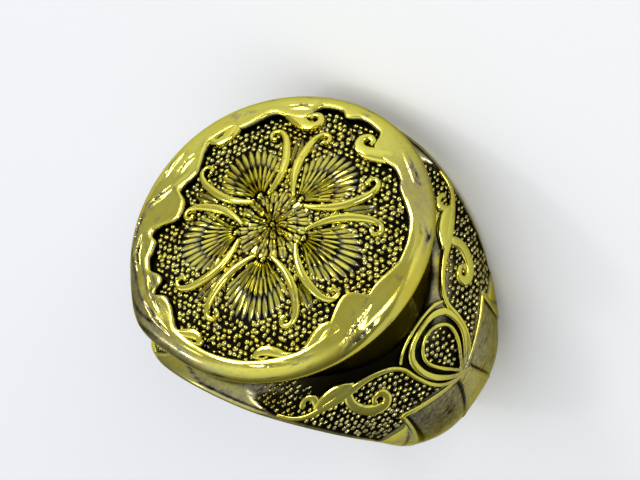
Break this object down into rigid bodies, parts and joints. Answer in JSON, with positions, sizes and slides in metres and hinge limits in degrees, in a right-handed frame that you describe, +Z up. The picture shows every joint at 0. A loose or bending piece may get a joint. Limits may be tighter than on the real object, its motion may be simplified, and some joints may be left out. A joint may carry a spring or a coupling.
{
  "type": "signet ring",
  "caption": "Heavy one-piece signet ring with a round domed head, ornamented shoulders and a tapering band, lying on its flat side.",
  "frame": {"origin": "middle of the finger hole, on its axis", "axes": "+Z straight up from the surface that the ring lies on; the domed face looks towards -Y and a little up; +X runs across the two shoulders; the finger hole's axis leans back from +Z by the slope of the flat sides"},
  "size_m": [0.029, 0.0301, 0.0251],
  "materials": {
    "antiqued_gold": "polished greenish-yellow gold tone, with black antiquing left in the recesses of the relief"
  },
  "bodies": {
    "root": {"signet_ring": "antiqued_gold"}
  },
  "joints": []
}
